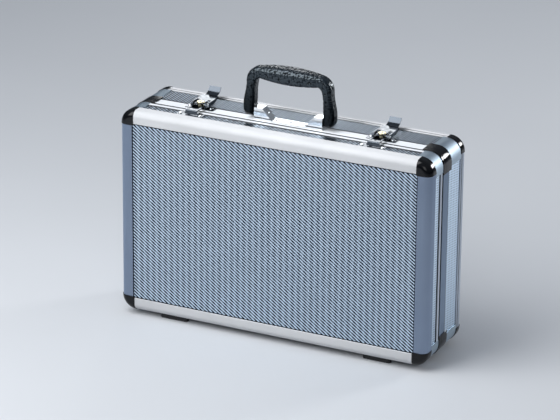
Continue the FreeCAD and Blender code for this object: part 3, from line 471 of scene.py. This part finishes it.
# painted light and shade: each half and run gets its own tone of the one aluminium, with its real drawn
# axis
barDrawAndPaintedLight = {
    "lid": {"across": acrossBars, "upright": lidUprightBars},
    "base": {"across": acrossBars, "upright": baseUprightBars},
}
rimDrawAndPaintedLight = {
    "lid": {"across": acrossRims, "upright": lidUprightRims},
    "base": {"across": acrossRims, "upright": baseUprightRims},
}
for half in halves:
    dress(felt, f"{half}_lining")
    dress(rubber, f"{half}_feet")
    dress(chrome, f"{half}_rivets", *(f"hinge_leaf_{half}_{hand}" for hand in hands))
dress(chrome, "hinge_pins", "handle_plate", "handle_pins", "lever_pins")
for hand in hands:
    # the latch pieces get the plating darkened as a painted reflection
    dress(nickel, *(f"{part}_{hand}" for part in (
        "latch_plate", "latch_lever", "latch_claw", "claw_pin", "keeper")))
    dress(lockBrass, f"lock_cylinder_{hand}")
print("materials given to the nodes")

outwardOf = {"top": (0, 0, 1), "bottom": (0, 0, -1), "left": (-1, 0, 0), "right": (1, 0, 0)}
intoHalf = {"lid": np.array((0, 1.0, 0)), "base": np.array((0, -1.0, 0))}
faceLevel = {"lid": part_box("lid_edge_top")[0].y, "base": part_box("base_edge_top")[1].y}
outerLevel = {"top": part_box("lid_edge_top")[1].z, "bottom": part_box("lid_edge_bottom")[0].z,
              "left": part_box("lid_edge_left")[0].x, "right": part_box("lid_edge_right")[1].x}
cornerRound = 20.0 * mm                                    # of the case's corners, seen from the front
cornerAxes = [(outerLevel[hand] - cornerRound * np.sign(outerLevel[hand]), upright, hand,
               outerLevel[upright] - cornerRound * outwardOf[upright][2])
              for upright in ("top", "bottom") for hand in hands]

# painted shade in the narrow channels of the extrusions and rims
channelShade = {
    "from": 0.2, "run": 0.4, "deepest": 1.4,                 # mm under the face: where dark starts and ends
    "margin": 0.1, "away": 99.0,                             # mm past a channel, and where there is none
}

edgeBar = {
    "leg": 18.0, "round": 9.4, "wall": 1.5, "web": 7.0, "lipBack": 2.0, "board": 4.0,   # mm
    "lipRound": 0.5, "roundSteps": 25,
    "lipStrip": 2.5, "channel": 2.2, "sink": 0.9,             # die channel behind the lip, on the base
}


# section carried straight along a side of the case; a point in a channel, a short way under the face that
# its second part lies on, is marked for painted shade
def straightBar(name, node, half, side, profile, faceAt, shade):
    outward = np.array(outwardOf[side], float)
    normalAxis = int(np.argmax(np.abs(outward)))
    along = 2 - normalAxis
    ends = np.zeros((2, 3))
    ends[:, 1] = faceLevel[half]
    ends[:, normalAxis] = outerLevel[side]
    ends[:, along] = [corner[along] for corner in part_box(node)]
    piece = addPiece(name, sweep(profile, ends, -outward, intoHalf[half]))
    spots = np.zeros(len(piece.data.vertices) * 3, np.float32)
    piece.data.vertices.foreach_get("co", spots)
    spots = spots.reshape(-1, 3)
    depth = np.abs(outerLevel[side] - spots[:, normalAxis]) / mm
    under = depth - faceAt(np.abs(spots[:, 1] - faceLevel[half]) / mm)
    # painted shade, deepening from where a channel starts under the face
    paintedShade = np.clip((under - shade["from"]) / shade["run"], 0, 1) * (under < shade["deepest"])
    markPoints(piece, "channel", paintedShade)
    return piece


# edge extrusion: its quarter-round section, with a slot for each board, carried straight along the side
def makeEdgeBar(half, side, bar, shade):
    leg, wall, web, back = bar["leg"], bar["wall"], bar["web"], bar["leg"] - bar["lipBack"]
    boardBack, inner = wall + bar["board"], wall * 2 + bar["board"]
    lip, sink = bar["lipRound"], bar["sink"]
    strip, far = leg - bar["lipStrip"], leg - bar["lipStrip"] - bar["channel"]
    dieLine = [(0, strip), (sink, strip), (sink, far), (0, far)] if half == "base" else []
    profile = roundedOutline([
        (0, leg, lip), *dieLine, (0, 0, bar["round"]), (leg, 0, lip), (leg, wall, lip),
        (web, wall), (web, boardBack), (back, boardBack), (back, inner), (inner, inner),
        (inner, back), (boardBack, back), (boardBack, web), (wall, web), (wall, leg, lip)],
        bar["roundSteps"])
    first, last = far - shade["margin"], strip + shade["margin"]
    node = f"{half}_edge_{side}"
    piece = straightBar(f"{node}.bar", node, half, side, profile,
                        lambda into: np.where((into > first) & (into < last), 0, shade["away"]), shade)
    standFor(piece, barDrawAndPaintedLight[half][runOf[side]], node)


for half in halves:
    for side in runOf:
        makeEdgeBar(half, side, edgeBar, channelShade)
print("edge bars made")

rim = {
    "width": {"lid": 8.5, "base": 21.0}, "slot": {"lid": 5.5, "base": 4.0},      # mm
    "wall": 1.5, "board": 4.0, "lipBack": 2.0, "lipRound": 0.5, "outerRound": 0.25,
    "bead": 6.0, "beadStep": 0.7,
    # the channels below are painted dark as shade
    "partingChannel": 1.7, "outerChannel": 1.7, "beadChannel": 1.3, "sink": 1.2,  # dark lines by the faces
    "tongueRoot": 3.0, "tongueHeight": 5.0, "tonguePlay": 0.5, "tongueWall": 1.5,
}


# mouth rim: its section, with a channel at the parting, at the bead and at the board, carried straight
def makeRim(half, side, strip, shade):
    node = f"{half}_rim_{side}"
    low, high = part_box(node)
    wall, lip, sink = strip["wall"], strip["lipRound"], strip["sink"]
    boardBack, inner = wall + strip["board"], wall * 2 + strip["board"]
    if half == "lid":
        mouth, flange = (high.y - faceLevel[half]) / mm, 0
    else:
        mouth, flange = (faceLevel[half] - low.y) / mm - strip["tongueHeight"], strip["beadStep"]
    outer = mouth - strip["width"][half]
    web, back = outer + strip["slot"][half], outer + strip["lipBack"]
    parting, edge = mouth - strip["partingChannel"], outer + strip["outerChannel"]
    bead = mouth - strip["bead"]
    beadFoot = bead - strip["beadChannel"]
    step = [(0, bead, lip), (sink, bead), (sink, beadFoot), (flange, beadFoot)] if half == "base" else []
    tongueFace = inner + strip["tonguePlay"]
    tongueBack = tongueFace + strip["tongueWall"]
    root, tip = mouth - strip["tongueRoot"], mouth + strip["tongueHeight"]
    inside = {
        "lid": [(inner, mouth)],
        "base": [(inner, root), (tongueBack, root), (tongueBack, tip), (tongueFace, tip),
                 (tongueFace, mouth)],
    }
    profile = roundedOutline([
        (sink, mouth), (sink, parting), (0, parting, lip), *step, (flange, edge, strip["outerRound"]),
        (sink, edge), (sink, outer), (wall, outer), (wall, web), (boardBack, web), (boardBack, back),
        (inner, back), *inside[half]])
    last = beadFoot + shade["margin"]
    piece = straightBar(f"{node}.strip", node, half, side, profile,
                        lambda into: np.where(into < last, flange, 0), shade)
    standFor(piece, rimDrawAndPaintedLight[half][runOf[side]], node)


for half in halves:
    for side in runOf:
        makeRim(half, side, rim, channelShade)
print("mouth rims made")

cornerPost = {
    "flange": 6.0, "web": 1.0, "wall": 1.5, "board": 4.0, "roundSteps": 41,  # mm
}


# corner post: a quarter ring with two slotted flanges, carried straight into the case
def makePosts(half, post):
    reach, wall = cornerRound / mm, post["wall"]
    slotOut, slotIn, back = reach - wall, reach - wall - post["board"], reach - wall * 2 - post["board"]
    end, web, lip = -post["flange"], -post["web"], -post["flange"] + post["web"]
    profile = roundedOutline([
        (reach, end), (reach, reach, reach), (end, reach), (end, slotOut), (web, slotOut), (web, slotIn),
        (lip, slotIn), (lip, back), (back, back, back), (back, lip), (slotIn, lip), (slotIn, web),
        (slotOut, web), (slotOut, end)], post["roundSteps"])
    node = f"{half}_corner_posts"
    low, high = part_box(node)
    shapes = [sweep(profile, [(x, low.y, z), (x, high.y, z)], outwardOf[hand], outwardOf[upright])
              for x, upright, hand, z in cornerAxes]
    standFor(addPiece(f"{node}.ring", joinShapes(shapes)), depthBars, node)


for half in halves:
    makePosts(half, cornerPost)
print("corner posts made")

cornerCap = {
    "proud": 0.8, "leg": 18.0, "round": 9.4, "wall": 1.5, "lipRound": 0.6,  # mm
    "roundSteps": 17, "turnSteps": 33,
}


# quarter turn about a corner axis: the direction goes from sideways to upright as cosine and sine
def quarterTurn(hand, upright, steps):
    angle = np.linspace(0, math.pi / 2, steps)[:, None]
    return np.cos(angle) * np.array(outwardOf[hand]) + np.sin(angle) * np.array(outwardOf[upright])


# corner cap: a rounded shell's section turned a quarter round the corner axis
def makeCaps(half, cap):
    proud, wall, leg = cap["proud"], cap["wall"], cap["leg"]
    outer, shell = cornerRound / mm + proud, cornerRound / mm - wall
    profile = roundedOutline([
        (0, -proud), (outer, -proud, cap["round"] + proud), (outer, leg, cap["lipRound"]),
        (shell, leg), (shell, wall, cap["round"] - wall), (0, wall)], cap["roundSteps"])
    node = f"{half}_corner_caps"
    shapes = [sweep(profile, (x, faceLevel[half], z), quarterTurn(hand, upright, cap["turnSteps"]),
                    intoHalf[half])
              for x, upright, hand, z in cornerAxes]
    standFor(addPiece(f"{node}.shell", joinShapes(shapes)), blackAbs, node)


for half in halves:
    makeCaps(half, cornerCap)
print("corner caps made")

mouthCorner = {
    "proud": 0.8, "width": 26.0, "leg": 10.0, "wall": 1.5, "board": 4.0, "slot": 4.0, "rim": 21.0,  # mm
    "lipBack": 2.0, "tongueRoot": 3.0, "tongueHeight": 5.0, "tonguePlay": 0.5, "tongueWall": 1.5,
    "bead": 6.0, "groove": 0.7, "grooveRound": 0.3, "turnSteps": 33,
}


# mouth corner: the rim's section with its bead groove, carried straight, a quarter round and straight again
def makeMouthCorners(corner):
    reach, wall, proud = cornerRound / mm, corner["wall"], corner["proud"]
    outer, slotOut, slotIn = reach + proud, reach - wall, reach - wall - corner["board"]
    wallIn = slotIn - wall
    tongueFace = wallIn - corner["tonguePlay"]
    tongueBack = tongueFace - corner["tongueWall"]
    node = "base_mouth_corners"
    tip = (faceLevel["base"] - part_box(node)[0].y) / mm
    mouth = tip - corner["tongueHeight"]
    root, far, strip = mouth - corner["tongueRoot"], mouth - corner["width"], mouth - corner["rim"]
    web, back = strip + corner["slot"], strip + corner["lipBack"]
    bead, groove, soft = mouth - corner["bead"], corner["groove"], corner["grooveRound"]
    profile = roundedOutline([
        (outer, mouth, proud), (outer, bead + groove, soft), (outer - groove, bead + groove / 2, soft),
        (outer, bead, soft), (outer, far, proud), (slotOut, far), (slotOut, web), (slotIn, web),
        (slotIn, back), (wallIn, back), (wallIn, root), (tongueBack, root), (tongueBack, tip),
        (tongueFace, tip), (tongueFace, mouth)])
    shapes = []
    for x, upright, hand, z in cornerAxes:
        turn = quarterTurn(hand, upright, corner["turnSteps"])
        turn = np.concatenate([turn[:1], turn, turn[-1:]])
        start = np.tile((x, faceLevel["base"], z), (len(turn), 1))
        start[0] -= np.array(outwardOf[upright]) * corner["leg"] * mm
        start[-1] -= np.array(outwardOf[hand]) * corner["leg"] * mm
        shapes.append(sweep(profile, start, turn, intoHalf["base"]))
    standFor(addPiece(f"{node}.band", joinShapes(shapes)), blackAbs, node)


makeMouthCorners(mouthCorner)
print("mouth corners made")

handle = {
    "legWidth": 16.0, "legDepth": 19.0, "round": 6.0,     # mm
    "lean": 6.4,                                          # degrees, the legs towards the grip
    "knee": 30.0, "bend": 14.0,                           # mm, radii of the middle line
    "gripLength": 84.0, "gripBand": 1.0, "swell": 3.3, "gripStep": 0.6, "stepRun": 6.0,
    "waist": 1.5,                                         # taken off each side in the middle of a leg
    "toeRound": 10.0, "toeLift": 2.0,                     # outer corner of a leg's end, its gap to the foot
    "step": 0.5,                                          # grid spacing along and round
    "bendSteps": 60, "ringSteps": 40, "toeSteps": 12,
    "pebble": 3.1, "grain": 1.0, "legGrain": 0.25,        # grain cells, their height, its share on the legs
    "bareToe": 4.0,                                       # run-out of the grain at a leg's end
    "roundTo": 4, "leastNormal": 1e-9,                    # decimals of a distance, and no division by 0
}

pebbleCell = {
    "margin": 0.1, "play": 0.8,                           # a dome's centre in its cell, in cells
    "dome": 0.75, "away": 9.0,                            # a dome's radius, and more than any distance
    # two sets of factors that make a shift from 0 to 1 of a cell's two numbers
    "shift": ((12.9898, 78.233, 43758.5453), (39.346, 11.135, 24634.6345)),
}


# leather pebbles: a dome over each of a grid of shifted cell centres, the height a root of what is left
# of one after the squared distance
def pebbles(along, around, cells, cell):
    nearest = np.full(along.shape, cell["away"])
    for stepA in (-1, 0, 1):
        for stepB in (-1, 0, 1):
            cellA, freeB = np.floor(along) + stepA, np.floor(around) + stepB
            cellB = np.mod(freeB, cells)
            shiftA, shiftB = (cell["margin"] + cell["play"] * np.mod(np.sin(cellA * p + cellB * q) * r, 1)
                              for p, q, r in cell["shift"])
            nearest = np.minimum(nearest, np.hypot(cellA + shiftA - along, freeB + shiftB - around))
    return np.sqrt(np.clip(1 - (nearest / cell["dome"]) ** 2, 0, 1))


# points at given distances along a line of points, by straight runs between them
def spreadAlong(line, far):
    run = np.concatenate([[0], np.cumsum(np.linalg.norm(np.diff(line, axis=0), axis=1))])
    return np.stack([np.interp(far, run, line[:, part]) for part in range(line.shape[1])], -1)


def lineLength(line):
    return np.linalg.norm(np.diff(line, axis=0), axis=1).sum()


# handle: a rounded section carried up a leaning leg, round a bend, along the grip and down again, with
# a grain of pebbles pressed into it
def makeHandle(arch, cell):
    low, high = (np.array(corner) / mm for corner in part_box("handle_grip"))
    a, b, lean = arch["legWidth"] / 2, arch["legDepth"] / 2, math.radians(arch["lean"])
    legX, centreY, foot = high[0] - a, (low[1] + high[1]) / 2, low[2] + arch["toeLift"]
    crown = high[2] - arch["swell"] - a
    kneeZ = low[2] + 2 * b + arch["knee"] * math.tan(lean / 2)
    bendX = legX - (crown - kneeZ) * math.tan(lean)
    line = roundedOutline([
        (-legX, foot), (-legX, kneeZ, arch["knee"]), (-bendX, crown, arch["bend"]),
        (bendX, crown, arch["bend"]), (legX, kneeZ, arch["knee"]), (legX, foot)], arch["bendSteps"]) / mm
    total = lineLength(line)
    toe = b * (1 - np.cos(np.linspace(0, 1, arch["toeSteps"]) * math.pi / 2))
    far = np.concatenate([np.linspace(0, total, int(total / arch["step"])), toe, total - toe])
    far = np.unique(np.clip(np.round(far, arch["roundTo"]), 0, total))
    near = np.clip(np.minimum(far, total - far), 0, None)  # distance from the nearer leg's end
    x, z = spreadAlong(line, far).T
    ahead = np.stack([np.gradient(x, far), np.gradient(z, far)], -1)
    ahead /= np.linalg.norm(ahead, axis=1, keepdims=True)
    outward = np.stack([-ahead[:, 1], x * 0, ahead[:, 0]], -1)

    # half widths of the section along the line: inwards, outwards and to the front and back
    halfGrip, atTop = arch["gripLength"] / 2, z > crown - arch["gripBand"]
    onGrip = np.clip((halfGrip - np.abs(x)) / arch["stepRun"], 0, 1) * atTop
    swell = arch["swell"] * np.clip(1 - (x / halfGrip) ** 2, 0, None) * atTop
    height = np.clip((z - kneeZ) / (crown - kneeZ), 0, 1)
    halfWide = a + swell - arch["waist"] * np.sin(math.pi * height) ** 2
    toeGap = np.clip(arch["toeRound"] - near, 0, None)
    halfOut = halfWide - arch["toeRound"] + np.sqrt(arch["toeRound"] ** 2 - toeGap ** 2)
    toeShare = np.clip(1 - near / b, 0, 1)
    halfDeep = (b + swell + arch["gripStep"] * onGrip) * np.sqrt(np.clip(1 - toeShare ** 2, 0, 1))

    ring = roundedOutline([(*corner, arch["round"]) for corner in ((a, -b), (a, b), (-a, b), (-a, -b))],
                          arch["ringSteps"]) / mm
    ring = np.vstack([ring, ring[:1]])
    girth = lineLength(ring)
    spread = np.linspace(0, girth, int(girth / arch["step"]), endpoint=False)
    ring = spreadAlong(ring, spread)
    centre = np.stack([x, x * 0 + centreY, z], -1)
    wide = np.where(ring[:, 0] > 0, halfOut[:, None], halfWide[:, None])
    points = (centre[:, None] + outward[:, None] * (ring[:, 0] / a * wide)[..., None]
              + np.array((0, 1.0, 0)) * (ring[:, 1] / b * halfDeep[:, None])[..., None])
    normal = np.cross(np.roll(points, -1, 1) - np.roll(points, 1, 1), np.gradient(points, axis=0))
    normal /= np.maximum(np.linalg.norm(normal, axis=-1, keepdims=True), arch["leastNormal"])
    normal *= np.sign(np.sum(normal * (points - centre[:, None]), -1, keepdims=True))

    cells = int(girth / arch["pebble"])
    along, around = np.meshgrid(far / arch["pebble"], spread / girth * cells, indexing="ij")
    share = arch["legGrain"] + (1 - arch["legGrain"]) * height
    share = (share * np.clip(near / arch["bareToe"], 0, 1))[:, None]
    grain = pebbles(along, around, cells, cell) * share
    points = points + normal * ((grain - share) * arch["grain"])[..., None]
    piece = addPiece("handle_grip.arch", tube(points * mm), sharpFrom=75, weld=False)
    markPoints(piece, "crest", grain)
    standFor(piece, handleVinyl, "handle_grip")


makeHandle(handle, pebbleCell)
print("handle made")

emboss = {
    "step": 1.1,         # grid spacing, mm
    "column": 9.0,       # from break to break along a slot, mm
    "breaks": 0.3,       # share of a slot's depth lost at a break
    "height": 0.65,      # sheet above the slots, mm, a little more than the real one so that it shows
    "fade": 2.0,         # run-out at the sheet's border, mm
    "tuck": 5.0,         # sheet hidden under the lips, mm
}
# slots of each board: mm from one to the next, drawn coarser than a real one so that they show, their
# slope, how much painted shade lies in them and how much painted light falls on the whole board
slots = {
    "panel": {"pitch": 4.6, "lean": 0.72, "paintedSlotShade": 1.0, "paintedBoardLight": 1.0},
    "across": {"pitch": 4.6, "lean": 0.72, "paintedSlotShade": 0.9, "paintedBoardLight": 0.77},
    "upright": {"pitch": 3.3, "lean": 0.15, "paintedSlotShade": 0.5, "paintedBoardLight": 1.0},
}


# slanted slots: a raised cosine across them, shallower at the breaks of each column and faded out at the
# window's border
def strokeHeight(along, across, window, pattern, slot):
    wave = (along * slot["lean"] + across) / (slot["pitch"] * mm)
    deep = 0.5 - 0.5 * np.cos(2 * np.pi * wave)
    broken = 0.5 + 0.5 * np.cos(2 * np.pi * along / (pattern["column"] * mm))
    inside = np.minimum(np.minimum(along - window[0], window[1] - along),
                        np.minimum(across - window[2], window[3] - across))
    border = np.clip(inside / (pattern["fade"] * mm), 0, 1)
    return (1 - deep * (1 - pattern["breaks"] * broken)) * border * border * (3 - 2 * border)


# a sheet on its board: a slab whose face follows the slots' heights
def embossedBoard(node, outward, window, pattern, slot):
    low, high = (np.array(corner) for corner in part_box(node))
    normalAxis = int(np.argmax(np.abs(outward)))
    sign = outward[normalAxis]
    alongAxis, acrossAxis = plane = [axis for axis in range(3) if axis != normalAxis]
    tuck, step = pattern["tuck"] * mm, pattern["step"] * mm
    start = np.maximum([window[0] - tuck, window[2] - tuck], low[plane])
    end = np.minimum([window[1] + tuck, window[3] + tuck], high[plane])
    cols, rows = np.ceil((end - start) / step).astype(int) + 1
    along, across = np.meshgrid(np.linspace(start[0], end[0], cols), np.linspace(start[1], end[1], rows))
    ridge = strokeHeight(along, across, window, pattern, slot)
    face, back = (high, low) if sign > 0 else (low, high)
    points = np.zeros((rows, cols, 3))
    points[..., alongAxis], points[..., acrossAxis] = along, across
    points[..., normalAxis] = face[normalAxis] + sign * ridge * pattern["height"] * mm
    turned = np.cross(np.eye(3)[alongAxis], np.eye(3)[acrossAxis])[normalAxis] * sign < 0
    shape = slab(points, normalAxis, back[normalAxis], turned)
    piece = addPiece(f"{node}.sheet", shape, sharpFrom=50, weld=False)
    # painted light and shade: the sheet's tone follows its height, dark in the slots and at the faded
    # border, then scaled per board
    crest = (1 - slot["paintedSlotShade"] * (1 - ridge.ravel())) * slot["paintedBoardLight"]
    markPoints(piece, "ridge", np.concatenate([crest, np.zeros(len(shape[0]) - len(crest))]))
    standFor(piece, sheetMetal, node)


for half, faceSign in (("lid", -1), ("base", 1)):
    bars = {side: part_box(f"{half}_edge_{side}") for side in runOf}
    faceWindow = (bars["left"][1].x, bars["right"][0].x, bars["bottom"][1].z, bars["top"][0].z)
    embossedBoard(f"{half}_panel", np.array((0, faceSign, 0)), faceWindow, emboss, slots["panel"])
    for side, run in runOf.items():
        rimLow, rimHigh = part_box(f"{half}_rim_{side}")
        lidRimLow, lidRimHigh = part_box(f"lid_rim_{side}")
        edgeLow, edgeHigh = bars[side]
        depth = (edgeHigh.y, rimLow.y) if half == "lid" else (rimHigh.y, edgeLow.y)
        if run == "across":
            window = (lidRimLow.x, lidRimHigh.x, *depth)
        else:
            window = (*depth, lidRimLow.z, lidRimHigh.z)
        embossedBoard(f"{half}_side_{side}", np.array(outwardOf[side]), window, emboss, slots[run])
print("embossed sheets made")

pad = {
    "step": 3.0, "crestPitch": 26.0, "cornerRound": 6.0,   # mm
    "crest": {"lid": 5.0, "base": 1.2},                    # depth of the waves, mm
    "deepest": 0.9,                                        # share of the pad's thickness
}


# foam pad: egg-crate waves, the product of two sines, over a block with rounded edges
def foamPad(half, form):
    node = f"{half}_foam"
    low, high = (np.array(corner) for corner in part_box(node))
    inward = 1 if half == "lid" else -1
    face, back = (high[1], low[1]) if half == "lid" else (low[1], high[1])
    radius, turn = form["cornerRound"] * mm, 2 * np.pi / (form["crestPitch"] * mm)
    cols, rows = np.ceil((high - low)[[0, 2]] / (form["step"] * mm)).astype(int) + 1
    x, z = np.meshgrid(np.linspace(low[0], high[0], cols), np.linspace(low[2], high[2], rows))
    wave = np.sin(turn * x) * np.sin(turn * z)
    edge = np.minimum(np.minimum(x - low[0], high[0] - x), np.minimum(z - low[2], high[2] - z))
    fall = radius - np.sqrt(np.maximum(radius ** 2 - np.clip(radius - edge, 0, None) ** 2, 0))
    drop = form["crest"][half] * mm * (0.5 - 0.5 * wave) + fall
    y = face - inward * np.minimum(drop, abs(face - back) * form["deepest"])
    shape = slab(np.stack([x, y, z], -1), 1, back, inward > 0)
    piece = addPiece(f"{half}_foam.pad", shape, sharpFrom=50, weld=False)
    standFor(piece, foam, node)


for half in halves:
    foamPad(half, pad)
print("foam pads made")
